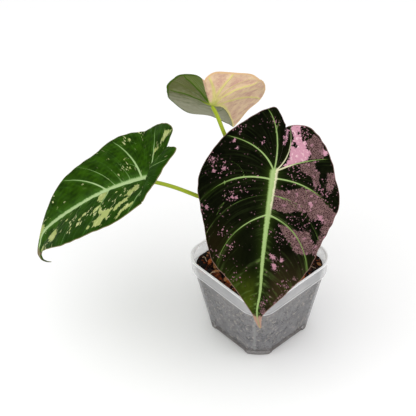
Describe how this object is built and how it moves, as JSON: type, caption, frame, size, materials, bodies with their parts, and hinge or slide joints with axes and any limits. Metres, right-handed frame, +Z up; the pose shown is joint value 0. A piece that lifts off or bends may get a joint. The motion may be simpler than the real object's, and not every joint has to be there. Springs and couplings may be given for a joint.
{
  "type": "potted black velvet alocasia",
  "caption": "Pink-variegated aroid house plant with heart-shaped velvet leaves on slim stalks, in a square clear nursery pot of bark potting mix.",
  "frame": {"origin": "middle of the pot's flat foot pad, on the surface that the pot stands on", "axes": "+Z up; the pot's sides lie along X and Y; the front leaf faces the corner between +X and -Y"},
  "size_m": [0.1726, 0.1796, 0.215],
  "materials": {
    "pot_plastic": "translucent, satin",
    "mix": "rough bark and coir",
    "crown_tissue": "matte",
    "stalk": "satin",
    "velvet_leaf": "velvet, pink and pale green markings",
    "green_leaf": "satin, cream markings",
    "pale_leaf": "matte underside, half pink cream"
  },
  "bodies": {
    "root": {"pot": "pot_plastic", "potting_mix": "mix", "crown": "crown_tissue", "petiole_front": "stalk", "petiole_left": "stalk", "petiole_back": "stalk", "blade_front": "velvet_leaf", "blade_left": "green_leaf", "blade_back": "pale_leaf"}
  },
  "joints": []
}
